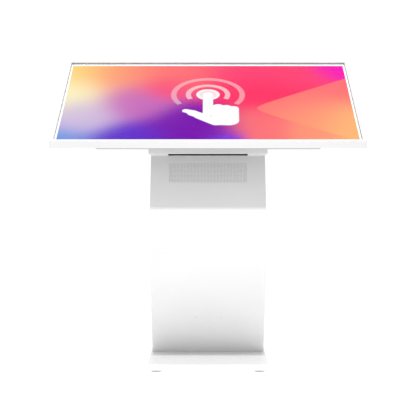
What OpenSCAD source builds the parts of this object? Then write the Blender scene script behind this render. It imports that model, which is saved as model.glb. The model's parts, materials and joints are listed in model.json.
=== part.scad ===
// Touchscreen kiosk: a tilted wide screen on a folded sheet-steel column and a flat weighted base.
// Frame: millimetres, +Z up, the user stands on the -Y side. The origin is on the floor, under the middle
// of the screen head.

/* [Screen] */
// Width of the visible picture
picture_w = 941.2; // [900:0.1:960]
// Height of the visible picture, measured up the slope
picture_h = 529.4; // [500:0.1:540]
// Tilt of the screen from horizontal, in degrees
screen_tilt = 30; // [27:0.5:33]
// Height of the middle of the screen head above the floor
head_h = 860; // [850:1:880]
// White glass border beside the picture
border_side = 7; // [5:0.5:9]
// White glass border below the picture
border_low = 7; // [5:0.5:9]
// White glass border above the picture
border_high = 13; // [10:0.5:16]

/* [Head] */
// Width of the steel bezel's front face
bezel_w = 12.4; // [11:0.1:14]
// Thickness of the screen head
head_t = 24; // [24:0.5:27]
// Depth of the glass below the bezel's face
glass_recess = 5; // [4:0.5:6]
// Width of the electronics housing on the back of the head
housing_w = 712; // [680:1:740]
// Length of the electronics housing, measured up the slope
housing_l = 436; // [420:1:450]
// Depth of the electronics housing
housing_d = 44; // [42:1:46]

/* [Column] */
// Width of the column
column_w = 370; // [360:1:376]
// Thickness of the column, square to its front faces
column_d = 130; // [125:1:135]
// Height of the front crease above the floor
crease_h = 401; // [395:1:407]
// Distance of the front crease in front of the origin
crease_y = 221.3; // [218:0.1:225]
// Backward lean of the lower front face from vertical, in degrees
lower_lean = 31.9; // [31:0.1:32.5]
// Backward lean of the upper front face from vertical, in degrees
upper_lean = 28.8; // [28:0.1:29.5]
// Height of the top of the column above the floor
column_top = 706; // [702:1:708]
// Sheet-steel thickness of the column, base and neck covers
sheet = 2; // [1.5:0.5:2]

/* [Neck] */
// Width of the neck cover
neck_w = 386; // [384:1:392]
// Height of the neck cover's lower edge above the floor
neck_low = 681; // [678:1:684]
// Distance that the neck cover stands in front of the column
neck_lip = 8; // [7:0.5:9]
// Y of the neck cover's back face
neck_back = 100; // [99:0.5:104]
// Width of the air slot under the neck cover's front edge
slot_w = 258; // [240:1:270]
// Height of the air slot
slot_h = 5.6; // [5:0.1:6]

/* [Base] */
// Width of the base
base_w = 380; // [378:1:400]
// Length of the base from front to back
base_l = 421; // [415:1:440]
// Thickness of the base
base_t = 20; // [20:1:24]
// Gap between the base and the floor
foot_gap = 6; // [6:0.5:8]
// Diameter of a levelling foot's pad
foot_d = 36; // [30:1:40]

/* [Service door] */
// Width of the service door
door_w = 250; // [230:1:260]
// Height of the service door, measured up the slope
door_l = 290; // [270:1:295]
// Gap all round the service door
door_gap = 1.5; // [1.2:0.1:2]

/* [Speakers] */
// Width of the perforated speaker grille
grille_w = 250; // [230:1:260]
// Height of the perforated speaker grille
grille_l = 70; // [60:1:75]

/* [Hidden] */
$fn = 48;

EPS = 1;                                     // overshoot of a cutting solid past the face it cuts
FLOAT = 0.3;                                 // gap between pieces that move past each other

// Head, in its own frame: x to the right, y up the slope, z out of the glass, origin in the slab's middle.
glass_w = picture_w + 2 * border_side;       // what shows of the glass between the bezel's edges
glass_l = picture_h + border_low + border_high;
head_w = glass_w + 2 * bezel_w;
head_l = glass_l + 2 * bezel_w;
glass_z = head_t / 2 - glass_recess;         // the touch surface
glass_t = 3;
glass_under = 8;                             // glass hidden under the bezel on each side
picture_y = (border_low - border_high) / 2;  // middle of the picture
lcd_z = [glass_z - glass_t - 10.3, glass_z - glass_t - 0.3];
pan_t = 1.5;
pan_z = [-head_t / 2, -head_t / 2 + pan_t];
flange_z = [pan_z[1], pan_z[1] + 1.5];       // the bezel's inward flange that the pan is screwed to
housing_z = [-head_t / 2 - housing_d, -head_t / 2];
housing_t = 1.5;
tray_z = housing_z[0] + housing_t;           // inner floor of the electronics housing
mount_t = 4;
rail_x = 140;
board_z = tray_z + mount_t + 6.5;            // underside of the controller board, on its spacers
head_bolt_x = 105;
head_bolt_y = [-75, 35];
pan_screw_x = [for (i = [-3:3]) i * (head_w - 14) / 6];
pan_screw_y = [for (i = [-1:1]) i * (head_l - 14) / 3];
housing_screw_x = [for (i = [-2:2]) i * (housing_w + 12) / 4];

// Column outline in the Y-Z plane, given by the distance inwards from its front and back faces.
base_z = foot_gap + base_t;                  // top of the base, on which the column stands
kick_y = base_l / 2 - 83;                    // vertical connector panel at the column's foot
front_n1 = [cos(lower_lean), sin(lower_lean)];
front_n2 = [cos(upper_lean), -sin(upper_lean)];
function crease(inset) =
    [-crease_y, crease_h] + inset * (front_n1 + front_n2) / (1 + front_n1 * front_n2);
function lower_y(inset, z) = -crease_y + (inset - (z - crease_h) * sin(lower_lean)) / cos(lower_lean);
function upper_y(inset, z) = -crease_y + (inset + (z - crease_h) * sin(upper_lean)) / cos(upper_lean);
function kick_top(inset) =
    crease_h + (column_d - inset - (kick_y - inset + crease_y) * cos(lower_lean)) / sin(lower_lean);
function back_line(inset, low, high) = [[upper_y(column_d - inset, high), high], crease(column_d - inset),
    [kick_y - inset, kick_top(inset)], [kick_y - inset, low]];
function front_line(inset, low, high) =
    [[lower_y(inset, low), low], crease(inset), [upper_y(inset, high), high]];
function reversed(list) = [for (i = [len(list) - 1:-1:0]) list[i]];
rail_inset = [12, 52];                       // the inner frame's side plates, from the front face
frame_x = 150;
frame_plate_z = [column_top - 20, column_top - 14];
shelf_z = 136;                               // underside of the equipment shelf
shelf_y = lower_y(sheet, shelf_z);           // its front edge, on the inside of the front wall
grille_mid = 258;                            // middle of the grille above the crease, up the slope
speaker_x = 68;
speaker_r = 30;

// Neck between the column and the head.
neck_front = upper_y(0, neck_low) - neck_lip;
neck_fit = 0.4;                              // gap between the column and the neck cover's floor
neck_bolt_x = 90;
neck_bolt_y = [-15, 50];
bracket_x = 125;

// Service door, in the back face's frame: x to the left of the kiosk, y up the slope, z outwards.
door_y = 40;                                 // door's lower edge above the connector panel
door_t = 1.8;
hinge_r = 3.5;
hinge_x = -door_w / 2 - door_gap / 2;
hinge_z = hinge_r + 0.2;
hinge_at = [door_y + 45, door_y + door_l - 45];
hinge_l = 50;
door_hinge_l = 44;
leaf_gap = hinge_r + 0.7;                    // leaf's edge, clear of the other leaf's knuckle
rivet_x = 14;                                // a leaf's rivets, from the hinge's axis
knuckle_l = 17;                              // the door's knuckle, between two fixed ones
fixed_spans = [[-hinge_l / 2, -knuckle_l / 2 - FLOAT], [knuckle_l / 2 + FLOAT, hinge_l / 2]];
pin_r = 1.5;
lock_x = door_w / 2 - 22;
lock_y = door_y + door_l / 2;
lock_r = 9.5;
lock_depth = 19;                             // back of the lock body behind the door's face
cam_reach = 30;
lip_z = [-5, -3.5];                          // ledge behind the door's edge

// Connector panel, with the mains inlet and the switch.
inlet_x = 40;
inlet_pin_at = [[-7, -2], [7, -2], [0, 2]];
switch_x = -15;
connector_z = base_z + 32;
rocker_tilt = 10;
rocker_pivot = -3.2;                         // the rocker's axis behind the panel's face

// Mains lead from the inlet to the junction box, and the loom from there into the head, kept behind the
// inner frame and the speaker box.
junction_y = shelf_y + 36;
junction_top = shelf_z + 34;
loom_inset = 88;
mains_route = [[inlet_x, kick_y - 31, connector_z], [inlet_x, kick_y - 40, connector_z + 2],
               [30, kick_y - 52, connector_z + 16], [16, kick_y - 70, connector_z + 34],
               [4, junction_y + 46, junction_top - 22], [0, junction_y + 34, junction_top - 16],
               [0, junction_y + 27, junction_top - 16], [0, junction_y + 20.6, junction_top - 16]];
loom_route = [[0, junction_y, junction_top + 0.6], [0, junction_y, junction_top + 16],
              [0, junction_y, junction_top + 36],
              [0, lower_y(loom_inset, 260), 260], [0, lower_y(loom_inset, 350), 350],
              [0, crease(loom_inset)[0] + 3, crease(loom_inset)[1]], [0, upper_y(loom_inset, 450), 450],
              [0, upper_y(loom_inset, 550), 550], [0, upper_y(loom_inset, 630), 630], [0, 14, 670],
              [0, 16, 700], [0, 18, 730], [0, 17, 760], [0, 12, 790], [0, 3, 812], [0, -6, 828]];

// Base.
foot_x = base_w / 2 - 26.5;
foot_y = base_l / 2 - 27;
stud_r = 5;
ballast_z = [foot_gap + 2, base_z - sheet];
running = 0.05;                              // radial clearance of a shaft in its bore

STEEL_WHITE = [0.93, 0.93, 0.94];
STEEL_GREY = [0.74, 0.74, 0.75];
ZINC = [0.72, 0.73, 0.75];
DARK = [0.12, 0.12, 0.13];

// ---- shared shapes ----

// A box between two values on each axis.
module block(x, y, z) {
    translate([x[0], y[0], z[0]]) cube([x[1] - x[0], y[1] - y[0], z[1] - z[0]]);
}

// A box centred on X and Y.
module plate(w, l, z) {
    block([-w / 2, w / 2], [-l / 2, l / 2], z);
}

// Extrudes a Y-Z outline along X, centred.
module across(w) {
    rotate([90, 0, 90]) linear_extrude(w, center = true) children();
}

// Corner points of a rectangle with rounded corners.
function rounded_points(w, l, r, steps = 5) = [for (c = [0:3], i = [0:steps])
    let (a = 90 * c + 90 * i / steps)
    [(c == 0 || c == 3 ? 1 : -1) * (w / 2 - r) + r * cos(a), (c < 2 ? 1 : -1) * (l / 2 - r) + r * sin(a)]];

module rounded_plate(w, l, r, z) {
    translate([0, 0, z[0]]) linear_extrude(z[1] - z[0]) polygon(rounded_points(w, l, r));
}

module rod(r, z) {
    translate([0, 0, z[0]]) cylinder(r = r, h = z[1] - z[0]);
}

// A button-head screw pointing down -z, its seat at z = 0.
module screw(head_r, head_l, shank_r, shank_l) {
    difference() {
        union() {
            rod(head_r * 0.75, [0, head_l]);
            rod(head_r, [0, head_l * 0.55]);
        }
        translate([0, 0, head_l * 0.45]) cylinder(r = head_r * 0.42, h = head_l, $fn = 6);
    }
    rod(shank_r, [-shank_l, 0.01]);
}

// A hexagon-head bolt pointing down -z with a nut at its end.
module bolt(r, grip) {
    cylinder(r = 1.9 * r, h = 1.3 * r, $fn = 6);
    rod(r, [-grip - 2 * r, 0.01]);
    translate([0, 0, -grip - 1.6 * r]) cylinder(r = 1.9 * r, h = 1.6 * r, $fn = 6);
}

module head_frame() {
    translate([0, 0, head_h]) rotate([screen_tilt, 0, 0]) children();
}

// Lower front face: origin where it meets the base, y up the face, z outwards.
module lower_front() {
    translate([0, lower_y(0, base_z), base_z]) rotate([lower_lean, 0, 0]) rotate([90, 0, 0]) children();
}

// Upper front face: origin at the crease, y up the face, z outwards.
module upper_front() {
    translate([0, -crease_y, crease_h]) rotate([-upper_lean, 0, 0]) rotate([90, 0, 0]) children();
}

// Lower back face: origin at its lower edge, x to the kiosk's left, y up the face, z outwards.
module lower_back() {
    translate([0, kick_y, kick_top(0)]) rotate([lower_lean, 0, 0]) rotate([90, 0, 180]) children();
}

// Connector panel: origin on its outer face, x to the kiosk's left, y up, z outwards.
module connector_face(x) {
    translate([x, kick_y, connector_z]) rotate([90, 0, 180]) children();
}

// A tube through smooth curves between the given points.
function tube_point(p, i, t) =
    let (a = p[max(i - 1, 0)], b = p[i], c = p[i + 1], d = p[min(i + 2, len(p) - 1)])
    0.5 * (2 * b + (c - a) * t + (2 * a - 5 * b + 4 * c - d) * t * t + (3 * b - a - 3 * c + d) * t * t * t);
module tube(points, r, sides = 8, steps = 3) {
    path = concat([for (i = [0:len(points) - 2], s = [0:steps - 1]) tube_point(points, i, s / steps)],
                  [points[len(points) - 1]]);
    n = len(path);
    rings = [for (i = [0:n - 1])
        let (d = path[min(i + 1, n - 1)] - path[max(i - 1, 0)], w = d / norm(d),
             u0 = cross(w, [1, 0, 0.013]), u = u0 / norm(u0), v = cross(w, u))
        for (k = [0:sides - 1]) path[i] + r * (cos(360 * k / sides) * u + sin(360 * k / sides) * v)];
    walls = [for (i = [0:n - 2], k = [0:sides - 1])
        let (a = i * sides, b = a + sides, k2 = (k + 1) % sides) [a + k, b + k, b + k2, a + k2]];
    polyhedron(rings, concat([[for (k = [0:sides - 1]) k]],
                             walls, [[for (k = [sides - 1:-1:0]) (n - 1) * sides + k]]), convexity = 6);
}

// ---- head ----

// Folded steel frame: outer wall, front face, inner return down to the glass, and the pan's flange.
module bezel_frame() color(STEEL_WHITE) head_frame() {
    difference() {
        rounded_plate(head_w, head_l, 4, [-head_t / 2, head_t / 2]);
        plate(head_w - 2 * sheet, head_l - 2 * sheet, [-head_t / 2 - EPS, head_t / 2 - sheet]);
        plate(glass_w, glass_l, [0, head_t]);
    }
    difference() {
        plate(glass_w + 2 * sheet, glass_l + 2 * sheet, [glass_z + 0.5, head_t / 2 - sheet / 2]);
        plate(glass_w, glass_l, [0, head_t]);
    }
    difference() {
        plate(head_w - sheet, head_l - sheet, flange_z);
        plate(head_w - 24, head_l - 24, [-head_t, head_t]);
        at_pan_screws() rod(1.9, [-head_t, 0]);
    }
}

module glass_gasket() color(DARK) head_frame() difference() {
    plate(glass_w + 12, glass_l + 12, [glass_z, glass_z + 0.5]);
    plate(glass_w + 0.6, glass_l + 0.6, [0, head_t]);
}

module touch_glass() color([0.8, 0.9, 0.9, 0.4]) head_frame()
    rounded_plate(glass_w + 2 * glass_under, glass_l + 2 * glass_under, 4, [glass_z - glass_t, glass_z]);

// White ink ring on the underside of the glass, round the picture.
module border_print() color("white") head_frame() difference() {
    plate(glass_w + 2 * glass_under, glass_l + 2 * glass_under,
          [glass_z - glass_t - 0.2, glass_z - glass_t]);
    translate([0, picture_y, 0]) plate(picture_w, picture_h, [-head_t, head_t]);
}

module lcd_panel() color([0.35, 0.2, 0.8]) head_frame() translate([0, picture_y, 0])
    plate(picture_w + 20, picture_h + 16, lcd_z);

// Steel straps that carry the display on the bezel's flange.
module panel_straps() color(ZINC) head_frame()
    for (x = [-390, -250, 250, 390]) translate([x, 0, 0])
        plate(40, head_l - 2 * sheet - 2, [flange_z[1], lcd_z[0]]);

module at_pan_screws() {
    for (x = pan_screw_x, side = [-1, 1]) translate([x, side * (head_l / 2 - 7), 0]) children();
    for (y = pan_screw_y, side = [-1, 1]) translate([side * (head_w / 2 - 7), y, 0]) children();
}

module back_pan() color(STEEL_WHITE) head_frame() difference() {
    plate(head_w - 2 * sheet - 0.6, head_l - 2 * sheet - 0.6, pan_z);
    plate(640, 360, [-head_t, 0]);
    at_pan_screws() rod(1.9, [-head_t, 0]);
    at_housing_screws() rod(1.9, [-head_t, 0]);
}

module pan_screws() color(ZINC) head_frame() at_pan_screws()
    translate([0, 0, pan_z[0]]) rotate([180, 0, 0]) screw(3.6, 1.8, 1.9, 5);

module at_housing_screws() {
    for (x = housing_screw_x, side = [-1, 1]) translate([x, side * (housing_l / 2 + 6), 0]) children();
}

// Sheet box with an outward flange, rows of cooling slots and a cable and bolt field over the neck.
module rear_housing() color(STEEL_GREY) head_frame() difference() {
    union() {
        rounded_plate(housing_w, housing_l, 6, housing_z);
        rounded_plate(housing_w + 24, housing_l + 24, 6, [housing_z[1] - housing_t, housing_z[1]]);
    }
    plate(housing_w - 2 * housing_t, housing_l - 2 * housing_t, [tray_z, housing_z[1] + EPS]);
    for (side = [-1, 1], i = [0:11])
        translate([side * 265, -110 + 20 * i, 0]) plate(110, 4, [housing_z[0] - EPS, tray_z + EPS]);
    for (i = [-11:11]) translate([28 * i, housing_l / 2, 0])
        block([-2, 2], [-8, 8], [housing_z[0] + 10, housing_z[1] - 12]);
    for (x = [-head_bolt_x, head_bolt_x], y = head_bolt_y)
        translate([x, y, 0]) rod(4.5, [housing_z[0] - EPS, tray_z + EPS]);
    translate([0, -20, 0]) rod(18, [housing_z[0] - EPS, tray_z + EPS]);
    at_housing_screws() rod(1.9, [housing_z[1] - 3, 0]);
}

module housing_screws() color(ZINC) head_frame() at_housing_screws()
    translate([0, 0, housing_z[1] - housing_t]) rotate([180, 0, 0]) screw(3.6, 1.8, 1.9, 3);

module mount_plate() color(ZINC) head_frame() difference() {
    plate(2 * rail_x + 20, 220, [tray_z, tray_z + mount_t]);
    for (x = [-head_bolt_x, head_bolt_x], y = head_bolt_y) translate([x, y, 0]) rod(4.5, [-100, 0]);
    translate([0, -20, 0]) rod(18, [-100, 0]);
}

// Two box rails that carry the head on the mounting plate and reach the pan beyond its opening.
module chassis_rails() color(ZINC) head_frame()
    for (x = [-rail_x, rail_x]) translate([x, 0, 0]) difference() {
        plate(20, 400, [tray_z + mount_t, housing_z[1]]);
        block([-8, 8], [-200 - EPS, 200 + EPS], [tray_z + mount_t + 2, housing_z[1] - 2]);
    }

module media_player() color(DARK) head_frame() translate([245, 0, tray_z]) {
    difference() {
        plate(140, 170, [3, 30]);
        for (i = [-6:6]) translate([10 * i, 0, 0]) plate(3, 150, [26, 40]);
        for (x = [-45, -20, 5, 30]) block([x, x + 16], [80, 90], [8, 17]);
    }
    for (x = [-60, 60], y = [-75, 75]) translate([x, y, 0]) rod(5, [0, 3]);
}

module power_supply() color([0.75, 0.76, 0.74]) head_frame() translate([-245, 0, tray_z]) {
    difference() {
        plate(130, 160, [0, 30]);
        plate(126, 110, [2, 28]);
        for (i = [-5:5]) translate([11 * i, 0, 0]) plate(4, 80, [27, 31]);
    }
    for (i = [-3:3]) translate([14 * i, -88, 4]) plate(10, 14, [0, 9]);
}

module at_spacers() {
    for (x = [-92, 92], y = [-62, 62]) translate([x, y, 0]) children();
}

module controller_board() color([0.1, 0.35, 0.2]) head_frame() difference() {
    union() {
        plate(200, 140, [board_z, board_z + 1.6]);
        translate([-30, 10, 0]) plate(44, 44, [board_z + 1, board_z + 12]);
        translate([45, 25, 0]) plate(24, 24, [board_z + 1, board_z + 4]);
        for (i = [-2:2]) translate([30 * i, -58, 0]) plate(20, 12, [board_z + 1, board_z + 10]);
    }
    for (i = [-3:3]) translate([-30 + 6 * i, 10, 0]) plate(3, 50, [board_z + 5, board_z + 20]);
    at_spacers() rod(1.6, [-100, 0]);
    translate([0, -20, 0]) rod(16, [-100, 0]);
}

module board_spacers() color("gold") head_frame() at_spacers() {
    rod(3, [tray_z + mount_t, board_z]);
    rod(1.5, [board_z - 0.01, board_z + 3]);
    rod(2.8, [board_z + 1.6, board_z + 3]);
}

// ---- neck ----

// Outline of the neck cover in the Y-Z plane, drawn inwards by an inset; its top follows the head's slope.
function neck_outline(inset, rise) = let (
        front = neck_front + inset, back = neck_back - inset, low = neck_low + inset,
        slope_z = head_h + housing_z[0] / cos(screen_tilt), k = neck_lip - 0.6 * inset)
    [[front + k, low], [front, low + k], [front, slope_z + front * tan(screen_tilt) + rise],
     [back, slope_z + back * tan(screen_tilt) + rise], [back, low + k], [back - k, low]];

module neck_solid(inset, rise) {
    half = neck_w / 2 - inset;
    low = neck_low + inset;
    k = neck_lip - 0.6 * inset;
    intersection() {
        across(neck_w + 2) polygon(neck_outline(inset, rise));
        translate([0, neck_back + 50, 0]) rotate([90, 0, 0]) linear_extrude(400)
            polygon([[-half + k, low], [half - k, low], [half, low + k], [half, 1000], [-half, 1000],
                     [-half, low + k]]);
    }
}

// Folded cover round the top of the column, with an air slot in its lower front chamfer.
module neck_cover() color(STEEL_WHITE) difference() {
    neck_solid(0, 0);
    neck_solid(sheet, 20);
    across(column_w + 2 * neck_fit) polygon([
        [upper_y(-neck_fit, neck_low - 9), neck_low - 9],
        [upper_y(-neck_fit, neck_low + 6), neck_low + 6],
        [upper_y(column_d + neck_fit, neck_low + 6), neck_low + 6],
        [upper_y(column_d + neck_fit, neck_low - 9), neck_low - 9]]);
    block([-slot_w / 2, slot_w / 2], [neck_front - 5, neck_front + 16],
          [neck_low + 0.9, neck_low + 0.9 + slot_h]);
    at_neck_screws() rod(2.2, [-10, 10]);
}

// Black mesh strip stuck to the column's front face behind the air slot.
module slot_screen() color(DARK) upper_front()
    block([-slot_w / 2 + 0.4, slot_w / 2 - 0.4],
          [(neck_low + 1.4 - crease_h) / cos(upper_lean), (neck_low + 13 - crease_h) / cos(upper_lean)],
          [0, 0.8]);

module at_neck_screws() {
    for (side = [-1, 1], y = [-20, 60]) translate([side * neck_w / 2, y, neck_low + 60])
        rotate([0, side * 90, 0]) children();
}

module neck_screws() color(ZINC) at_neck_screws() screw(4, 2, 2.1, 6);

// Welded bracket: foot plate on the column's frame, two cheeks, side ears for the cover and a head plate.
module neck_bracket() color(ZINC) difference() {
    union() {
        block([-bracket_x - 12, bracket_x + 12], [-45, 72], [frame_plate_z[1], frame_plate_z[1] + 6]);
        head_frame() translate([0, -20, 0])
            plate(2 * bracket_x + 24, 160, [housing_z[0] - 6, housing_z[0]]);
        for (x = [-bracket_x, bracket_x]) translate([x, 0, 0]) across(6)
            polygon([[-45, frame_plate_z[1] + 5], [72, frame_plate_z[1] + 5],
                     [72, cheek_z(72)], [-58, cheek_z(-58)]]);
        for (side = [-1, 1], y = [-20, 60])
            block(side > 0 ? [bracket_x, neck_w / 2 - sheet] : [-neck_w / 2 + sheet, -bracket_x],
                  [y - 8, y + 8], [neck_low + 52, neck_low + 68]);
    }
    head_frame() for (x = [-head_bolt_x, head_bolt_x], y = head_bolt_y)
        translate([x, y, 0]) rod(4.5, [housing_z[0] - 10, 0]);
    head_frame() translate([0, -20, 0]) rod(18, [housing_z[0] - 10, 0]);
    for (x = [-neck_bolt_x, neck_bolt_x], y = neck_bolt_y)
        translate([x, y, 0]) rod(5.5, [frame_plate_z[0], frame_plate_z[1] + 10]);
    translate([0, 15, 0]) rod(20, [frame_plate_z[0], frame_plate_z[1] + 10]);
    at_neck_screws() rod(2.1, [-9, 10]);
}
function cheek_z(y) = head_h + (housing_z[0] - 3) / cos(screen_tilt) + y * tan(screen_tilt);

module neck_bolts() color(ZINC) for (x = [-neck_bolt_x, neck_bolt_x], y = neck_bolt_y)
    translate([x, y, frame_plate_z[1] + 6]) bolt(5, 12);

module head_bolts() color(ZINC) head_frame() for (x = [-head_bolt_x, head_bolt_x], y = head_bolt_y)
    translate([x, y, tray_z + mount_t]) rotate([0, 0, 30]) bolt(4, mount_t + housing_t + 6);

// ---- column ----

module at_front_screws() {
    for (x = [-43, 43]) translate([x, (shelf_z + 19 - base_z) / cos(lower_lean), 0]) children();
    translate([0, (shelf_z + 8 - base_z) / cos(lower_lean), 0]) scale(0.6) children();
}

// Front and sides of the column, folded from one sheet, with flanges at the back for the back panel.
module column_shell() color(STEEL_WHITE) difference() {
    union() {
        difference() {
            across(column_w)
                polygon(concat(front_line(0, base_z, column_top), back_line(0, base_z, column_top)));
            across(column_w - 2 * sheet)
                polygon(concat(front_line(sheet, base_z - 9, column_top + 9),
                               back_line(-9, base_z - 9, column_top + 9)));
        }
        for (side = [-1, 1]) translate([side * (column_w / 2 - sheet - 8), 0, 0]) across(18)
            polygon(concat(back_line(sheet, base_z, column_top),
                           reversed(back_line(sheet + 1.5, base_z, column_top))));
    }
    upper_front() translate([0, grille_mid, 0]) plate(grille_w, grille_l, [-10, 10]);
    lower_front() at_front_screws() rod(2.2, [-10, 10]);
    at_back_panel_screws() rod(1.7, [-8, 2]);
}

// Perforated plate set flush in the front of the column.
module speaker_grille() color([0.8, 0.8, 0.81]) upper_front() translate([0, grille_mid, 0]) {
    difference() {
        plate(grille_w - 0.4, grille_l - 0.4, [-1.5, -0.2]);
        for (i = [-11:11], j = [-3:3]) translate([i * 10 + (j % 2) * 5, j * 9, 0])
            translate([0, 0, -3]) cylinder(r = 3.2, h = 6, $fn = 6);
    }
    difference() {
        plate(grille_w + 16, grille_l + 16, [-3.2, -sheet]);
        plate(grille_w - 12, grille_l - 12, [-9, 9]);
    }
    difference() {
        plate(grille_w - 0.4, grille_l - 0.4, [-2.5, -1]);
        plate(grille_w - 8, grille_l - 6, [-9, 9]);
    }
}

module grille_cloth() color(DARK) upper_front() translate([0, grille_mid, 0])
    plate(grille_w + 14, grille_l + 14, [-4, -3.2]);

module speaker_box() color(DARK) upper_front() translate([0, grille_mid, 0]) difference() {
    plate(280, 96, [-62, -4]);
    plate(272, 88, [-58, -8]);
    for (x = [-speaker_x, speaker_x]) translate([x, 0, 0]) rod(speaker_r + 0.2, [-10, 0]);
}

// Loudspeakers: basket, cone, dust cap and magnet turned as one outline each.
module speaker_drivers() color([0.2, 0.2, 0.21]) upper_front() translate([0, grille_mid, 0])
    for (x = [-speaker_x, speaker_x]) translate([x, 0, 0]) rotate_extrude()
        polygon([[0, -38], [20, -38], [20, -26], [12, -26], [12, -22], [speaker_r - 4, -9],
                 [speaker_r, -9], [speaker_r, -4.6], [speaker_r - 4, -4.6], [speaker_r - 7, -6],
                 [9, -16], [6, -14.6], [0, -14]]);

// Cross tube between the side plates, at a distance up from a face's origin.
module cross_tube(y) {
    translate([0, y, 0]) difference() {
        block([-frame_x, frame_x], [-12, 12], [-rail_inset[1] + 4, -rail_inset[0] - 12]);
        block([-frame_x - EPS, frame_x + EPS], [-10, 10], [-rail_inset[1] + 6, -rail_inset[0] - 14]);
    }
}

// Welded inner frame: two bent side plates, cross tubes, a foot plate and a top plate.
module inner_frame() color(ZINC) difference() {
    union() {
        for (side = [-1, 1]) translate([side * frame_x, 0, 0]) across(4)
            polygon(concat(front_line(rail_inset[0], base_z + 4, frame_plate_z[0] + 3),
                           reversed(front_line(rail_inset[1], base_z + 4, frame_plate_z[0] + 3))));
        lower_front() {
            cross_tube(50);
            cross_tube(330);
        }
        upper_front() {
            cross_tube(60);
            cross_tube(180);
        }
        block([-frame_x - 12, frame_x + 12], [lower_y(rail_inset[0], base_z), kick_y - 16],
              [base_z, base_z + 6]);
        block([-frame_x - 12, frame_x + 12], [-58, 70], frame_plate_z);
    }
    at_frame_bolts() rod(5.5, [base_z - 5, base_z + 20]);
    for (x = [-neck_bolt_x, neck_bolt_x], y = neck_bolt_y)
        translate([x, y, 0]) rod(5.5, [frame_plate_z[0] - 5, frame_plate_z[1] + 5]);
    translate([0, 15, 0]) rod(20, [frame_plate_z[0] - 5, frame_plate_z[1] + 5]);
}

module at_frame_bolts() {
    for (x = [-120, 120], y = [66, 98]) translate([x, y, 0]) children();
}

module frame_bolts() color(ZINC) at_frame_bolts() translate([0, 0, base_z + 6]) {
    cylinder(r = 9.5, h = 6.5, $fn = 6);
    rod(5, [-20, 0.01]);
}

// Bent shelf inside the front wall, held by the screws that show on the front.
module equipment_shelf() color(ZINC) difference() {
    across(130) polygon([[lower_y(sheet, shelf_z + 44), shelf_z + 44], [shelf_y, shelf_z],
                         [shelf_y + 58, shelf_z], [shelf_y + 58, shelf_z + 2],
                         [lower_y(sheet + 2, shelf_z + 2), shelf_z + 2],
                         [lower_y(sheet + 2, shelf_z + 44), shelf_z + 44]]);
    lower_front() at_front_screws() rod(2.1, [-10, 10]);
}

module junction_box() color([0.85, 0.85, 0.83]) translate([0, junction_y, 0]) difference() {
    plate(110, 40, [shelf_z + 2, junction_top]);
    for (i = [-4:4]) translate([11 * i, 12, 0]) plate(6, 12, [junction_top - 6, junction_top + EPS]);
}

module front_screws() color(ZINC) lower_front() at_front_screws() screw(3.6, 1.8, 2, 6);

module at_back_panel_screws() {
    for (side = [-1, 1]) {
        for (y = [20, 130, 240, 350]) lower_back() translate([side * (column_w / 2 - 12), y, 0]) children();
        for (y = [30, 130, 230]) translate([0, crease(column_d)[0], crease(column_d)[1]])
            rotate([-upper_lean, 0, 0]) rotate([90, 0, 180])
                translate([side * (column_w / 2 - 12), y, 0]) children();
    }
}

// Bent back panel between the column's sides, open for the door and cut out for the inlet and the switch.
module back_panel() color(STEEL_WHITE) difference() {
    across(column_w - 2 * sheet - 0.6)
        polygon(concat(back_line(0, base_z, column_top), reversed(back_line(sheet, base_z, column_top))));
    lower_back() translate([0, door_y + door_l / 2, 0])
        plate(door_w + 2 * door_gap, door_l + 2 * door_gap, [-10, 10]);
    connector_face(inlet_x) plate(27.4, 20.2, [-10, 10]);
    connector_face(switch_x) plate(13.2, 19.4, [-10, 10]);
    at_back_panel_screws() rod(1.7, [-8, 2]);
    lower_back() for (y = hinge_at, s = [-1, 1] * (hinge_l / 2 - 7))
        translate([hinge_x - rivet_x, y + s, 0]) rod(1.6, [-5, 2]);
}

module back_panel_screws() color(ZINC) at_back_panel_screws() screw(3.2, 1.6, 1.6, 5);

// ---- service door ----

module door_frame() color(ZINC) lower_back() translate([0, door_y + door_l / 2, 0]) {
    difference() {
        plate(door_w + 26, door_l + 26, [lip_z[0], -sheet]);
        plate(door_w + 2 * door_gap, door_l + 2 * door_gap, [lip_z[1], 1]);
        plate(door_w - 16, door_l - 16, [-20, 1]);
    }
}

module door_seal() color(DARK) lower_back() translate([0, door_y + door_l / 2, 0]) difference() {
    plate(door_w - 3, door_l - 3, [lip_z[1], -door_t - FLOAT]);
    plate(door_w - 13, door_l - 13, [-20, 1]);
}

// Angle behind the ledge that the lock's cam turns under.
module lock_keeper() color(ZINC) lower_back() translate([lock_x, lock_y, 0]) {
    block([29, 31], [-18, 18], [-lock_depth, lip_z[0]]);
    block([17, 31], [-18, 18], [-lock_depth, -lock_depth + 2]);
}

// One hinge leaf: a flat plate on one side of the axis, its knuckles given as spans along the axis.
module leaf(side, spans, plate_l) {
    difference() {
        union() {
            block(side > 0 ? [leaf_gap, 22] : [-22, -leaf_gap], [-plate_l / 2, plate_l / 2], [0, 1.6]);
            for (s = spans) {
                translate([0, s[0], hinge_z]) rotate([-90, 0, 0]) cylinder(r = hinge_r, h = s[1] - s[0]);
                block(side > 0 ? [0, leaf_gap + 0.1] : [-leaf_gap - 0.1, 0], s, [0.6, 1.6]);
            }
        }
        translate([0, -100, hinge_z]) rotate([-90, 0, 0])
            cylinder(r = pin_r + (side > 0 ? running : 0), h = 200);
    }
    for (y = [-1, 1] * (plate_l / 2 - 7)) translate([side * rivet_x, y, 0]) {
        rod(1.6, [-2, 0.01]);
        rod(2.8, [1.5, 2.3]);
    }
}

module at_hinges() {
    lower_back() for (y = hinge_at) translate([hinge_x, y, 0]) children();
}

module hinge_leaves() color(ZINC) at_hinges() leaf(-1, fixed_spans, hinge_l);

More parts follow.
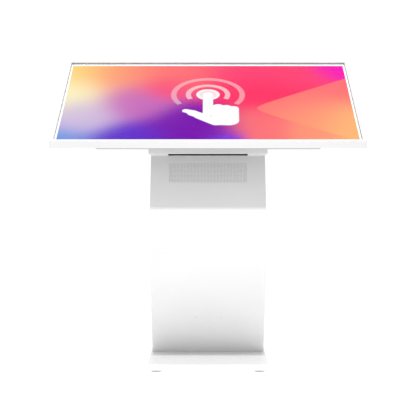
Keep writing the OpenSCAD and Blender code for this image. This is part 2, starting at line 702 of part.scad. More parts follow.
module hinge_pins() color(ZINC) at_hinges() translate([0, -hinge_l / 2 - 1, hinge_z]) rotate([-90, 0, 0]) {
    cylinder(r = pin_r, h = hinge_l + 2);
    cylinder(r = 2.2, h = 1);
}

module service_door() color(STEEL_WHITE) lower_back() difference() {
    translate([0, door_y + door_l / 2, 0]) union() {
        plate(door_w, door_l, [-door_t, 0]);
        difference() {
            plate(door_w - 30, door_l - 30, [-12, -door_t + 0.1]);
            plate(door_w - 33, door_l - 33, [-20, -door_t]);
            translate([lock_x, 0, 0]) plate(30, 70, [-20, -door_t]);
        }
    }
    translate([lock_x, lock_y, 0]) rod(lock_r, [-20, 5]);
    for (y = hinge_at, s = [-1, 1] * (door_hinge_l / 2 - 7))
        translate([hinge_x + rivet_x, y + s, 0]) rod(1.6, [-5, 2]);
}

module door_hinges() color(ZINC) at_hinges()
    leaf(1, [[-knuckle_l / 2, knuckle_l / 2]], door_hinge_l);

module lock_frame() {
    lower_back() translate([lock_x, lock_y, 0]) children();
}

module lock_body() color(ZINC) lock_frame() difference() {
    union() {
        rod(11.5, [0, 2.5]);
        rod(lock_r, [-lock_depth + 2, 0.01]);
    }
    rod(6 + running, [-30, 10]);
}

module lock_nut() color(ZINC) lock_frame() difference() {
    translate([0, 0, -door_t - 3.5]) cylinder(r = 13, h = 3.5, $fn = 6);
    rod(lock_r, [-30, 10]);
}

// Turning barrel of the lock, with the keyway in its face and a square end for the cam.
module lock_plug() color("silver") lock_frame() difference() {
    union() {
        rod(6, [-lock_depth + 1.6, 2.2]);
        rod(4, [-lock_depth - 4.5, -lock_depth + 2]);
    }
    block([-0.9, 0.9], [-3.6, 3.6], [-4, 10]);
}

module lock_cam() color(ZINC) lock_frame() difference() {
    union() {
        rod(8, [-lock_depth - 2.4, -lock_depth - FLOAT]);
        block([-7, 7], [0, cam_reach], [-lock_depth - 2.4, -lock_depth - FLOAT]);
    }
    rod(4, [-lock_depth - 10, 0]);
}

// ---- mains connection ----

// Outline of the inlet's recess, with its two cut corners.
function inlet_points(w, l, cut) =
    [[-w / 2, -l / 2], [w / 2, -l / 2], [w / 2, l / 2 - cut], [w / 2 - cut, l / 2], [-w / 2 + cut, l / 2],
     [-w / 2, l / 2 - cut]];

module power_inlet() color(DARK) connector_face(inlet_x) difference() {
    union() {
        rounded_plate(31, 24.4, 2, [0, 2]);
        plate(27, 19.8, [-22, 0.5]);
    }
    translate([0, 0, -14]) linear_extrude(30) polygon(inlet_points(24.4, 16.6, 4));
    for (p = inlet_pin_at) translate([p[0], p[1], 0]) plate(4, 2, [-30, 0]);
}

module inlet_pins() color("silver") connector_face(inlet_x)
    for (p = inlet_pin_at) translate([p[0], p[1], 0]) plate(4, 2, [-30, -4.5]);

module switch_frame() color(DARK) connector_face(switch_x) difference() {
    union() {
        rounded_plate(15.4, 21.4, 1.5, [0, 1.6]);
        plate(13, 19.2, [-16, 0.5]);
    }
    plate(11, 17, [-10, 10]);
    translate([-10, 0, rocker_pivot]) rotate([0, 90, 0]) cylinder(r = 1 + running, h = 20);
}

// Rocker pressed at its upper end at rest; it turns by twice its tilt.
module switch_rocker() color([0.08, 0.08, 0.08])
    connector_face(switch_x) translate([0, 0, rocker_pivot]) rotate([-rocker_tilt, 0, 0]) {
        across(10.4) polygon([[-7.2, -2], [0, -3.2], [7.2, -2], [7.4, 5.2], [0, 3.6], [-7.4, 5.2]]);
        rotate([0, 90, 0]) cylinder(r = 1, h = 12.6, center = true);
    }

module wiring_loom() color(DARK) {
    tube(mains_route, 3.5);
    tube(loom_route, 5);
}

// ---- base ----

module base_cover() color(STEEL_WHITE) difference() {
    rounded_plate(base_w, base_l, 5, [foot_gap, base_z]);
    plate(base_w - 2 * sheet, base_l - 2 * sheet, [0, base_z - sheet]);
    at_frame_bolts() rod(5.5, [0, 50]);
}

module at_feet() {
    for (x = [-foot_x, foot_x], y = [-foot_y, foot_y]) translate([x, y, 0]) children();
}

module ballast_plate() color([0.3, 0.3, 0.32]) difference() {
    plate(base_w - 2 * sheet - 2, base_l - 2 * sheet - 2, ballast_z);
    at_feet() rod(8, [0, 50]);
    at_frame_bolts() rod(5, [0, 50]);
}

module foot_bushes() color(ZINC) at_feet() difference() {
    rod(8, [ballast_z[0], ballast_z[1] - 0.5]);
    rod(stud_r + running, [0, 50]);
}

// Levelling foot: a round pad on a stud that screws into its bush.
module foot(x, y) color([0.45, 0.45, 0.46]) translate([x, y, 0]) {
    rod(foot_d / 2, [0, 3.4]);
    rod(foot_d / 2 - 3, [3.3, foot_gap - 1]);
    rod(stud_r, [foot_gap - 1.1, ballast_z[1] - 1.5]);
}

module foot_front_left() foot(-foot_x, -foot_y);
module foot_front_right() foot(foot_x, -foot_y);
module foot_rear_left() foot(-foot_x, foot_y);
module foot_rear_right() foot(foot_x, foot_y);

bezel_frame();
glass_gasket();
touch_glass();
border_print();
lcd_panel();
panel_straps();
back_pan();
pan_screws();
rear_housing();
housing_screws();
mount_plate();
chassis_rails();
media_player();
power_supply();
controller_board();
board_spacers();
neck_cover();
slot_screen();
neck_screws();
neck_bracket();
neck_bolts();
head_bolts();
column_shell();
speaker_grille();
grille_cloth();
speaker_box();
speaker_drivers();
inner_frame();
frame_bolts();
equipment_shelf();
junction_box();
front_screws();
back_panel();
back_panel_screws();
door_frame();
door_seal();
lock_keeper();
hinge_leaves();
hinge_pins();
service_door();
door_hinges();
lock_body();
lock_nut();
lock_plug();
lock_cam();
power_inlet();
inlet_pins();
switch_frame();
switch_rocker();
wiring_loom();
base_cover();
ballast_plate();
foot_bushes();
foot_front_left();
foot_front_right();
foot_rear_left();
foot_rear_right();
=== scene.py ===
"""Touchscreen kiosk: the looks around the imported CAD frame. Metres, +Z up, the user stands on the -Y side."""

import json
import math

import bmesh
import bpy
from mathutils import Matrix, Vector


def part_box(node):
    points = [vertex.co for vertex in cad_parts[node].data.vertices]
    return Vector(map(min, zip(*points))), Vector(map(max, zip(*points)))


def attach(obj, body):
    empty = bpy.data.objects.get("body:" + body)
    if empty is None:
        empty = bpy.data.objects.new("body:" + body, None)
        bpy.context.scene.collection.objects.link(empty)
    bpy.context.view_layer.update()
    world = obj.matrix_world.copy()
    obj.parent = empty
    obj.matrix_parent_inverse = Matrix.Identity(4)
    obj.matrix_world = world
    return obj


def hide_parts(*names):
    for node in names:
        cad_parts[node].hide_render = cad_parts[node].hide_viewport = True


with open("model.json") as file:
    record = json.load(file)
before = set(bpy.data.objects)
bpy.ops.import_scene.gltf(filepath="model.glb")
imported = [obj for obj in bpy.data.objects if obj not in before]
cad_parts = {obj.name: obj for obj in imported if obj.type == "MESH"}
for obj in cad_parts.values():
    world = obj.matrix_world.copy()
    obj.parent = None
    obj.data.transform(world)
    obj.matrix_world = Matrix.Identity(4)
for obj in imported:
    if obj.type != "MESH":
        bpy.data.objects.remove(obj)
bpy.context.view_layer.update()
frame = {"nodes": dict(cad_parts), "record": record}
NODES = frame["nodes"]
MM = 0.001

# ---- the frame's own directions ----

SCREEN_TILT = math.radians(30)        # the screen, from the horizontal
UPPER_LEAN = math.radians(28.8)       # the column's upper face, from the vertical
UP_SLOPE = Vector((0, math.cos(SCREEN_TILT), math.sin(SCREEN_TILT)))
SCREEN_OUT = Vector((0, -math.sin(SCREEN_TILT), math.cos(SCREEN_TILT)))
UPPER_OUT = Vector((0, -math.cos(UPPER_LEAN), math.sin(UPPER_LEAN)))


def box_centre(node):
    low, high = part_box(node)
    return (low + high) / 2


# ---- building node trees ----


class Graph:
    """A material's node tree. Each method adds one node and returns its output socket."""

    def __init__(self, name):
        self.material = bpy.data.materials.new(name)
        self.material.use_nodes = True
        self.tree = self.material.node_tree
        self.tree.nodes.clear()

    def add(self, kind, inputs=(), **settings):
        """A node of a kind, with its settings, and its inputs given by name or number."""
        node = self.tree.nodes.new("ShaderNode" + kind)
        for key, value in settings.items():
            setattr(node, key, value)
        for key, value in dict(inputs).items():
            if isinstance(value, bpy.types.NodeSocket):
                self.tree.links.new(value, node.inputs[key])
            elif value is not None:
                node.inputs[key].default_value = value
        return node

    def math(self, operation, *values):
        return self.add("Math", enumerate(values), operation=operation).outputs[0]

    def vector(self, operation, *values, scale=None):
        inputs = {**dict(enumerate(values)), "Scale": scale}
        node = self.add("VectorMath", inputs, operation=operation)
        return node.outputs["Value" if operation in ("DOT_PRODUCT", "LENGTH", "DISTANCE") else "Vector"]

    def place(self):
        """A point's place in the row frame at rest, in metres."""
        return self.add("TexCoord").outputs["Object"]

    def noise(self, scale, detail=2.0, stretch=None):
        point = self.place()
        if stretch:
            point = self.vector("MULTIPLY", point, stretch)
        return self.add("TexNoise", {"Vector": point, "Scale": scale, "Detail": detail}).outputs["Fac"]

    def spread(self, value, low, high):
        """Carries 0..1 to low..high."""
        return self.add("MapRange", {"Value": value, "To Min": low, "To Max": high}).outputs["Result"]

    def smooth(self, value, start, end):
        """Rises smoothly from 0 at start to 1 at end."""
        inputs = {"Value": value, "From Min": start, "From Max": end}
        return self.add("MapRange", inputs, interpolation_type="SMOOTHSTEP").outputs["Result"]

    def blend(self, share, first, second):
        """Between two colours."""
        return self.add("Mix", {0: share, 6: first, 7: second}, data_type="RGBA").outputs[2]

    def bump(self, height, distance, strength=1.0):
        inputs = {"Height": height, "Distance": distance, "Strength": strength}
        return self.add("Bump", inputs).outputs["Normal"]

    def surface(self, shader):
        self.add("OutputMaterial", {"Surface": shader.outputs[0]})
        return self.material

    def principled(self, **inputs):
        """Ends the tree with one Principled shader; underscores in names stand for spaces."""
        named = {name.replace("_", " "): value for name, value in inputs.items()}
        return self.surface(self.add("BsdfPrincipled", named))


def linear(red, green, blue):
    """A colour from its 0..255 display values, by the sRGB curve."""
    def one(v):
        v /= 255
        return v / 12.92 if v <= 0.04045 else ((v + 0.055) / 1.055) ** 2.4
    return (one(red), one(green), one(blue), 1.0)


def grey(level):
    return linear(level, level, level)


# ---- materials ----


def powder_coat(name, low, high):
    """Satin powder coat: fine orange peel, faint cloudiness in tone and gloss."""
    g = Graph(name)
    cloud = g.noise(6, detail=3)
    peel = g.math("ADD", g.noise(900, detail=1), g.math("MULTIPLY", g.noise(320, detail=2), 0.8))
    return g.principled(
        Base_Color=g.blend(cloud, grey(low), grey(high)),
        Roughness=g.spread(g.noise(45, detail=3), 0.36, 0.46),
        Normal=g.bump(peel, 0.02 * MM, 0.6),
        IOR=1.5,
    )


def zinc_sheet():
    """Zinc-plated sheet steel: spangled crystals and soft streaks."""
    g = Graph("zinc_sheet")
    spangle = g.add("TexVoronoi", {"Vector": g.place(), "Scale": 70.0}).outputs["Color"]
    tone = g.add("SeparateColor", {"Color": spangle}).outputs[0]
    streak = g.noise(30, detail=4, stretch=(1, 1, 8))
    return g.principled(
        Base_Color=g.blend(tone, linear(176, 180, 186), linear(205, 208, 212)),
        Metallic=1.0,
        Roughness=g.math("ADD", g.spread(tone, 0.28, 0.42), g.spread(streak, -0.05, 0.08)),
        Normal=g.bump(g.noise(240, detail=3), 0.02 * MM, 0.5),
    )


def turned_metal(name, dark, bright, rough):
    """Bright plated metal with fine drawn lines."""
    g = Graph(name)
    lines = g.noise(60, detail=5, stretch=(1, 40, 40))
    return g.principled(
        Base_Color=g.blend(lines, linear(*dark), linear(*bright)),
        Metallic=1.0,
        Roughness=g.spread(lines, rough - 0.06, rough + 0.08),
        Normal=g.bump(lines, 0.01 * MM, 0.6),
    )


def moulded(name, low, high, rough, grain=700, depth=0.03):
    """Moulded plastic or rubber with an even spark-eroded grain."""
    g = Graph(name)
    texture = g.noise(grain, detail=3)
    return g.principled(
        Base_Color=g.blend(g.noise(25, detail=3), linear(*low), linear(*high)),
        Roughness=g.spread(texture, rough - 0.08, rough + 0.08),
        Normal=g.bump(texture, depth * MM, 0.7),
    )


WEAVE_PITCH = 1.2 * MM


def woven_mesh():
    """Black loudspeaker cloth and foam: a fine square weave."""
    g = Graph("black_mesh")
    xyz = g.add("SeparateXYZ", {"Vector": g.place()})
    turns = [g.math("MULTIPLY", xyz.outputs[axis], math.tau / WEAVE_PITCH) for axis in ("X", "Z")]
    weave = g.math("MULTIPLY", *(g.math("SINE", turn) for turn in turns))
    return g.principled(
        Base_Color=g.blend(g.smooth(weave, -0.6, 0.8), grey(18), grey(44)),
        Roughness=g.spread(g.noise(300), 0.85, 0.98),
        Normal=g.bump(weave, 0.15 * MM, 0.8),
    )


def circuit_board():
    """Green solder mask over tracks laid on a square grid."""
    g = Graph("circuit_board")
    cells = {"Vector": g.vector("MULTIPLY", g.place(), (1, 1.4, 1.4)), "Scale": 260.0}
    track = g.add("TexVoronoi", cells, distance="MANHATTAN", feature="F1").outputs["Distance"]
    line = g.smooth(track, 0.35, 0.5)
    return g.principled(
        Base_Color=g.blend(line, linear(14, 74, 44), linear(34, 112, 66)),
        Roughness=g.spread(g.noise(80), 0.28, 0.4),
        Normal=g.bump(line, 0.04 * MM, 0.5),
    )


def slope_point(g, node):
    """A point's place right of and up the slope from a node's middle, in metres."""
    offset = g.vector("SUBTRACT", g.place(), tuple(box_centre(node)))
    right = g.vector("DOT_PRODUCT", offset, (1, 0, 0))
    up = g.vector("DOT_PRODUCT", offset, tuple(UP_SLOPE))
    return right, up


INK_PAINTED_GLOW = 0.22           # painted light: the ink glows this much, which brightens it where the bezel shades it
UNDER_LIP = 8.0 * MM      # how far the ink runs under the bezel's lip
LIP_SHADE_WIDTH = 1.2 * MM      # width of the painted shade of the bezel's lip, a grey band on the ink; at the bottom the lip hides it
LIP_SHADE_EDGE = 0.3 * MM      # softness of the painted shade's inner edge


def white_ink():
    """White ink under the glass, with a faint print grain, a faint painted glow, and a grey band of painted
    shade beside the bezel's lip at the sides and the top.
    """
    g = Graph("white_ink")
    low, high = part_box("border_print")
    right, up = slope_point(g, "border_print")
    from_side = g.math("SUBTRACT", (high.x - low.x) / 2, g.math("ABSOLUTE", right))
    from_top = g.math("SUBTRACT", (high.y - low.y) / 2 / math.cos(SCREEN_TILT), up)
    inner = UNDER_LIP + LIP_SHADE_WIDTH
    # painted shade: rim is a grey band of the ink beside the bezel's lip, where the lip shades it
    rim = g.smooth(g.math("MINIMUM", from_side, from_top), inner + LIP_SHADE_EDGE, inner - LIP_SHADE_EDGE)
    ink = g.blend(g.noise(500, detail=2), grey(226), grey(232))
    return g.principled(
        Base_Color=g.blend(rim, ink, grey(204)),
        Roughness=g.spread(g.noise(60), 0.45, 0.55),
        Emission_Color=(1, 1, 1, 1),
        # painted light: the ink glows everywhere except in the painted shade beside the lip
        Emission_Strength=g.spread(rim, INK_PAINTED_GLOW, 0),
    )


def clear_glass():
    """Coated touch glass: clear, with a weak mirror and faint smears in its gloss."""
    g = Graph("touch_glass")
    smear = g.noise(9, detail=4)
    clear = g.add("BsdfTransparent", {"Color": (1, 1, 1, 1)})
    mirror = g.add("BsdfGlossy", {"Color": grey(250), "Roughness": g.spread(smear, 0.03, 0.09)})
    mirror_share = g.spread(smear, 0.003, 0.008)
    return g.surface(g.add("MixShader", {0: mirror_share, 1: clear.outputs[0], 2: mirror.outputs[0]}))


# ---- the picture on the display: a soft colour field, a wedge of light and a touch sign ----

YELLOW, CREAM = (255, 220, 120), (255, 250, 200)
ORANGE, AMBER, CORAL = (255, 150, 120), (255, 190, 120), (255, 115, 120)
RED, PINK, MAGENTA = (255, 40, 95), (255, 70, 120), (250, 20, 190)
LILAC, MAUVE, VIOLET = (210, 190, 225), (200, 110, 190), (120, 10, 175)
INDIGO, ULTRAMARINE, BLUE = (95, 45, 205), (125, 60, 245), (105, 150, 230)

# The field's soft lights: millimetres right of and above its middle, reach in millimetres, colour.
FIELD_LIGHTS = (
    (-480, 240, 90, YELLOW), (-480, 60, 80, CREAM), (-300, 210, 90, ORANGE), (-110, 220, 80, CORAL),
    (-140, 100, 50, PINK), (180, 210, 120, PINK), (180, 60, 80, RED), (480, 280, 60, MAGENTA),
    (-240, 0, 70, MAUVE), (-420, -100, 70, LILAC), (-490, -290, 70, BLUE), (-250, -280, 70, INDIGO),
    (-50, -170, 80, VIOLET), (60, -290, 35, ULTRAMARINE), (170, -140, 60, CORAL), (190, -270, 40, CORAL),
    (360, -200, 70, ORANGE), (490, -260, 60, AMBER),
)

# The wedge's edge is a hyperbola: from its tip it opens to a steady slope.
WEDGE_TIP = (160 * MM, -52 * MM)
WEDGE_BLUNT = 40 * MM     # the larger, the blunter its tip
WEDGE_SLOPE = 0.63
WEDGE_EDGE = 2.4 * MM     # softness of the edge, inside the wedge only
WEDGE_LIGHTS = (
    (180, 40, 120, CORAL), (300, -140, 90, ORANGE), (500, 150, 100, CORAL), (480, -200, 100, AMBER),
)

RING_CENTRE = (0, 46 * MM)
RINGS = (                 # inner and outer radius, fall of the arc's ends as a share of it, strength
    (105 * MM, 123 * MM, -0.59, 0.29),
    (57 * MM, 74 * MM, -0.47, 0.48),
)
DISC_RADIUS = 39 * MM
DISC_STRENGTH = 0.95
TINT_EDGE = (0.8, 0.7)    # where the disc's tinted middle starts and is full, as shares of its radius
TINT = (255, 170, 200)
TINT_STRENGTH = 0.35
# The hand as round-ended bars: start, end and radius in millimetres.
HAND = (
    (0, 45, 0, -90, 16.8),
    (33, -41, 31, -112, 18.5),
    (60, -47, 60, -120, 18.5),
    (83, -54, 82, -118, 17.5),
    (35, -131, 66, -133, 33.5),
    (-72, -69, -48, -78, 12),
    (-50, -84, -10, -112, 18),
    (-25, -104, 25, -146, 20),
)
HAND_FILLET = 5 * MM      # how far the bars melt into each other
EDGE = 1.2 * MM           # softness of the sign's edges
FACES_OUT = 0.9           # least cosine to the screen's normal that counts as the panel's face


def colour_field(g, point, lights):
    """Soft lights of plain colours, each weighted by a bell curve as wide as its reach."""
    total, weights = None, None
    for x, y, reach, colour in lights:
        away = g.vector("DISTANCE", point, (x * MM, y * MM, 0))
        square = g.math("MULTIPLY", away, away)
        bell = g.math("EXPONENT", g.math("MULTIPLY", square, -0.5 / (reach * MM) ** 2))
        part = g.vector("SCALE", linear(*colour)[:3], scale=bell)
        total = part if total is None else g.vector("ADD", total, part)
        weights = bell if weights is None else g.math("ADD", weights, bell)
    return g.vector("SCALE", total, scale=g.math("DIVIDE", 1.0, g.math("MAXIMUM", weights, 1e-6)))


def light_wedge(g, right, up, point, below):
    """A rounded wedge of warmer light that opens to the right."""
    run = g.math("MAXIMUM", g.math("SUBTRACT", right, WEDGE_TIP[0]), 0.0)
    spread = g.math("SQRT", g.math("MULTIPLY", run, g.math("ADD", run, 2 * WEDGE_BLUNT)))
    rise = g.math("ABSOLUTE", g.math("SUBTRACT", up, WEDGE_TIP[1]))
    inside = g.math("SUBTRACT", g.math("MULTIPLY", spread, WEDGE_SLOPE), rise)
    return g.blend(g.smooth(inside, 0.0, WEDGE_EDGE), below, colour_field(g, point, WEDGE_LIGHTS))


def capsule(g, point, x1, y1, x2, y2, radius):
    """Distance outside a round-ended bar."""
    start, along = Vector((x1, y1, 0)) * MM, Vector((x2 - x1, y2 - y1, 0)) * MM
    from_start = g.vector("SUBTRACT", point, tuple(start))
    reach = g.vector("DOT_PRODUCT", from_start, tuple(along / along.length_squared))
    reach = g.math("MINIMUM", g.math("MAXIMUM", reach, 0.0), 1.0)
    foot = g.vector("SCALE", tuple(along), scale=reach)
    return g.math("SUBTRACT", g.vector("LENGTH", g.vector("SUBTRACT", from_start, foot)), radius * MM)


def touch_sign(g, point, up, below):
    """A hand with a raised finger, a lit disc at its tip and two open rings round it."""
    away = g.vector("DISTANCE", point, (*RING_CENTRE, 0))
    white = linear(255, 255, 255)
    picture = below
    for inner, outer, end, strength in RINGS:
        middle, half = (inner + outer) / 2, (outer - inner) / 2
        band = g.math("SUBTRACT", g.math("ABSOLUTE", g.math("SUBTRACT", away, middle)), half)
        height = g.math("SUBTRACT", up, RING_CENTRE[1])
        above_end = g.math("SUBTRACT", height, g.math("MULTIPLY", away, end))
        shown = g.math("MULTIPLY", g.smooth(band, EDGE, -EDGE), g.smooth(above_end, -EDGE, EDGE))
        picture = g.blend(g.math("MULTIPLY", shown, strength), picture, white)
    disc = g.smooth(away, DISC_RADIUS + EDGE, DISC_RADIUS - EDGE)
    tinted = g.smooth(away, *(DISC_RADIUS * share for share in TINT_EDGE))
    picture = g.blend(g.math("MULTIPLY", disc, DISC_STRENGTH), picture, white)
    picture = g.blend(g.math("MULTIPLY", tinted, TINT_STRENGTH), picture, linear(*TINT))
    hand = None
    for bar in HAND:
        part = capsule(g, point, *bar)
        hand = part if hand is None else g.math("SMOOTH_MIN", hand, part, HAND_FILLET)
    return g.blend(g.smooth(hand, EDGE, -EDGE), picture, white)


def lit_picture():
    """The display: the picture glows on the panel's face only; its edges and back are grey plastic."""
    g = Graph("lit_picture")
    right, up = slope_point(g, "lcd_panel")
    point = g.add("CombineXYZ", {0: right, 1: up}).outputs[0]
    picture = light_wedge(g, right, up, point, colour_field(g, point, FIELD_LIGHTS))
    picture = touch_sign(g, point, up, picture)
    facing = g.vector("DOT_PRODUCT", g.add("NewGeometry").outputs["Normal"], tuple(SCREEN_OUT))
    front = g.math("GREATER_THAN", facing, FACES_OUT)
    return g.principled(
        Base_Color=g.blend(front, grey(120), grey(4)),
        Roughness=1.0,
        Specular_IOR_Level=0.0,
        Emission_Color=g.blend(front, (0, 0, 0, 1), picture),
        Emission_Strength=1.0,
    )


MATERIALS = {
    "white_coat": powder_coat("white_powder_coat", 213, 219),
    # painted shade: this coat is darker than the white one so that the rear housing's strip under the bezel
    # looks shaded
    "grey_coat": powder_coat("grey_coat_painted_shade", 176, 182),
    "zinc": zinc_sheet(),
    "screw_steel": turned_metal("plated_screws", (150, 153, 158), (188, 190, 194), 0.34),
    "satin_steel": turned_metal("satin_nickel", (170, 170, 168), (205, 205, 202), 0.30),
    "touch_glass": clear_glass(),
    "white_ink": white_ink(),
    "picture": lit_picture(),
    "foam": woven_mesh(),
    "black_plastic": moulded("black_plastic", (20, 20, 22), (30, 30, 32), 0.5),
    "black_metal": moulded("black_case", (26, 26, 28), (36, 36, 38), 0.42, grain=1100, depth=0.02),
    "alloy_case": turned_metal("bare_aluminium", (178, 180, 182), (206, 208, 210), 0.38),
    "circuit_board": circuit_board(),
    "grey_plastic": moulded("light_grey_plastic", (206, 206, 202), (216, 216, 212), 0.5),
    "ballast_iron": moulded("primed_iron", (52, 52, 54), (66, 66, 68), 0.6, grain=260, depth=0.12),
    "foot_rubber": moulded("grey_foot_pad", (176, 177, 178), (190, 191, 192), 0.6),
}


def dress(piece, slot):
    """Gives a piece its record slot's material."""
    piece.data.materials.clear()
    piece.data.materials.append(MATERIALS[slot])


# ---- carried-over CAD nodes ----

WELD = 0.01 * MM          # corners nearer than this are one
FLAT = math.radians(1)    # faces that meet flatter than this are one
FOLD = math.radians(40)   # edges sharper than this are rounded
# Folded and machined edges are rounded by these radii, in millimetres.
EDGE_RADII = {
    "bezel_frame": 0.8, "column_shell": 1.2, "back_panel": 0.5, "neck_cover": 1.0, "base_cover": 1.5,
    "rear_housing": 0.6, "service_door": 0.5, "touch_glass": 0.4,
}


def soften(piece, radius):
    """Rounds a CAD node's sharp edges. Its flat faces are made whole first, so that they shade evenly."""
    weld = piece.modifiers.new("weld", "WELD")
    weld.merge_threshold = WELD
    whole = piece.modifiers.new("whole_faces", "DECIMATE")
    whole.decimate_type = "DISSOLVE"
    whole.angle_limit = FLAT
    bevel = piece.modifiers.new("soft_edges", "BEVEL")
    bevel.width = radius * MM
    bevel.segments = 2
    bevel.limit_method = "ANGLE"
    bevel.angle_limit = FOLD
    bevel.harden_normals = True


for entry in frame["record"]["subparts"]:
    dress(NODES[entry["node"]], entry["material_slot"])
for name, radius in EDGE_RADII.items():
    soften(NODES[name], radius)

# ---- the fine grille, made here because its holes are small ----

GRILLE_FLANGE = 2.6 * MM      # middle of the CAD grille's box behind the column's face
GRILLE_FACE = 0.2 * MM        # the grille's face behind the column's face
GRILLE_SIZE = (249.6 * MM, 69.6 * MM)
GRILLE_SHEET = 1.2 * MM
HOLE_PITCH = 4.6 * MM
HOLE_RADIUS = 1.0 * MM
HOLE_SIDES = 12               # 4 times an odd number, so that no spoke runs into its cell's corner
CORNERS = ((0.5, 0.5), (-0.5, 0.5), (-0.5, -0.5), (0.5, -0.5))


def perforated_sheet(size, pitch, radius, thickness):
    """A plate in X-Y with a square grid of holes, its face at z = 0."""
    columns, rows = (int(length / pitch) for length in size)
    cell = (size[0] / columns, size[1] / rows)
    turns = [math.tau * i / HOLE_SIDES for i in range(HOLE_SIDES)]
    spokes = [(math.cos(turn), math.sin(turn)) for turn in turns]
    circle = [(radius * x, radius * y) for x, y in spokes]
    square = []               # where the spokes meet the cell's edge
    for x, y in spokes:
        reach = 0.5 / max(abs(x), abs(y))
        square.append((reach * x * cell[0], reach * y * cell[1]))
    corners = [(x * cell[0], y * cell[1]) for x, y in CORNERS]
    per_quarter = HOLE_SIDES // len(CORNERS)
    mesh = bmesh.new()

    def verts(middle, offsets, z):
        return [mesh.verts.new((middle[0] + x, middle[1] + y, z)) for x, y in offsets]

    for column in range(columns):
        for row in range(rows):
            middle = ((column + 0.5) * cell[0] - size[0] / 2, (row + 0.5) * cell[1] - size[1] / 2)
            holes = []
            for z in (0, -thickness):
                hole, rim, corner = (verts(middle, offsets, z) for offsets in (circle, square, corners))
                for i in range(HOLE_SIDES):
                    j = (i + 1) % HOLE_SIDES
                    face = [hole[i], rim[i], rim[j], hole[j]]
                    if i % per_quarter == per_quarter // 2:
                        face.insert(2, corner[i // per_quarter])
                    mesh.faces.new(face if z == 0 else face[::-1])
                holes.append(hole)
            front, back = holes
            for i in range(HOLE_SIDES):
                j = (i + 1) % HOLE_SIDES
                mesh.faces.new((front[i], front[j], back[j], back[i]))
    bmesh.ops.remove_doubles(mesh, verts=mesh.verts, dist=WELD)
    bmesh.ops.bridge_loops(mesh, edges=[edge for edge in mesh.edges if edge.is_boundary])
    bmesh.ops.recalc_face_normals(mesh, faces=mesh.faces)
    return mesh


def add_object(name, data):
    """An object of a mesh, lamp or camera, linked into the scene."""
    item = bpy.data.objects.new(name, data)
    bpy.context.scene.collection.objects.link(item)
    return item


def add_mesh(name, mesh):
    """An object of a bmesh, which is freed."""
    data = bpy.data.meshes.new(name)
    mesh.to_mesh(data)
    mesh.free()
    return add_object(name, data)


def face_frame(origin, out):
    """The frame with x to the user's right, y up a face and z out of it."""
    x = Vector((1, 0, 0))
    y = out.cross(x)
    rotation = Matrix((x, y, out)).transposed().to_4x4()
    return Matrix.Translation(origin) @ rotation


sheet = perforated_sheet(GRILLE_SIZE, HOLE_PITCH, HOLE_RADIUS, GRILLE_SHEET)
sheet_middle = box_centre("speaker_grille") + UPPER_OUT * (GRILLE_FLANGE - GRILLE_FACE)
sheet.transform(face_frame(sheet_middle, UPPER_OUT))
grille = add_mesh("fine_grille", sheet)
dress(grille, "white_coat")
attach(grille, "stand")
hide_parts("speaker_grille")

# ---- studio: a glowing white floor, an even white surround and one soft key from above the front ----

CAMERA_AT = (0, -3.611, 0.6975)
CAMERA_DOWN = math.radians(3)
LENS_MM = 94.33
SENSOR_MM = 36
FAR = 200
KEY_HEIGHT = math.radians(66)
KEY_POWER = 1.6
KEY_SPREAD = math.radians(4)
WALL = 1.05               # strength of the surround up to the wall's top, and of the ceiling over it
CEILING = 0.95
WALL_TOP = (0.16, 0.45)   # where the wall fades into the ceiling, as sines of the angle above the horizon
FLOOR_SIZE = 60
FLOOR_DROP = 0.2 * MM     # keeps the floor just clear of the feet
FLOOR_GLOW = 0.95
FRONT_GLOW = 0.82         # what a round patch of floor in front of the kiosk adds, to light the bezel's face
FRONT_Y = -1.0            # the patch's middle
FRONT_CORE = 0.3          # its full strength ends at this radius
FRONT_REACH = 1.3         # and it fades out by this one


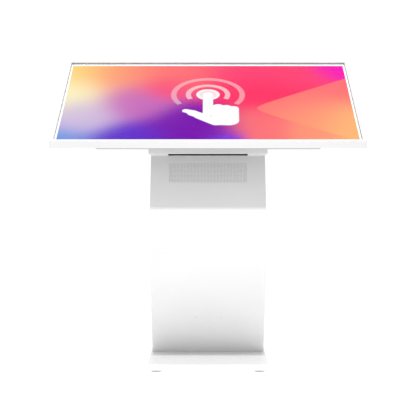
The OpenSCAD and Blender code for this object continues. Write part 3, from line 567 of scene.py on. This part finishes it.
def surround():
    """A white wall all round, up to a little above the horizon, under a dimmer ceiling."""
    world = bpy.data.worlds.new("surround")
    world.use_nodes = True
    tree = world.node_tree
    direction = tree.nodes.new("ShaderNodeTexCoord")
    height = tree.nodes.new("ShaderNodeSeparateXYZ")
    fade = tree.nodes.new("ShaderNodeMapRange")
    background = tree.nodes["Background"]
    fade.interpolation_type = "SMOOTHSTEP"
    limits = {"From Min": WALL_TOP[0], "From Max": WALL_TOP[1], "To Min": WALL, "To Max": CEILING}
    for name, value in limits.items():
        fade.inputs[name].default_value = value
    background.inputs["Color"].default_value = (1, 1, 1, 1)
    tree.links.new(direction.outputs["Generated"], height.inputs[0])
    tree.links.new(height.outputs["Z"], fade.inputs["Value"])
    tree.links.new(fade.outputs["Result"], background.inputs["Strength"])
    bpy.context.scene.world = world


def key_lamp():
    """One weak sun, high over the user's side."""
    key = bpy.data.lights.new("key", "SUN")
    key.energy = KEY_POWER
    key.angle = KEY_SPREAD
    add_object("key", key).rotation_euler = (math.radians(90) - KEY_HEIGHT, 0, 0)


def glowing_floor():
    """The white floor, brighter in front of the kiosk."""
    g = Graph("white_floor")
    away = g.vector("DISTANCE", g.place(), (0, FRONT_Y, 0))
    near = g.smooth(away, FRONT_REACH, FRONT_CORE)
    material = g.principled(
        Base_Color=grey(100),
        Roughness=1.0,
        Specular_IOR_Level=0.0,
        Emission_Color=(1, 1, 1, 1),
        Emission_Strength=g.spread(near, FLOOR_GLOW, FLOOR_GLOW + FRONT_GLOW),
    )
    plane = bmesh.new()
    bmesh.ops.create_grid(plane, x_segments=1, y_segments=1, size=FLOOR_SIZE / 2)
    bmesh.ops.translate(plane, verts=plane.verts, vec=(0, 0, -FLOOR_DROP))
    floor = add_mesh("floor", plane)
    floor.data.materials.append(material)


def front_camera():
    """The photograph's view: square to the front, from standing height, looking slightly down."""
    lens = bpy.data.cameras.new("camera")
    lens.lens = LENS_MM
    lens.sensor_width = SENSOR_MM
    lens.clip_end = FAR
    camera = add_object("camera", lens)
    camera.location = CAMERA_AT
    camera.rotation_euler = (math.radians(90) - CAMERA_DOWN, 0, 0)
    bpy.context.scene.camera = camera


surround()
key_lamp()
glowing_floor()
front_camera()
bpy.context.scene.view_settings.view_transform = "Standard"
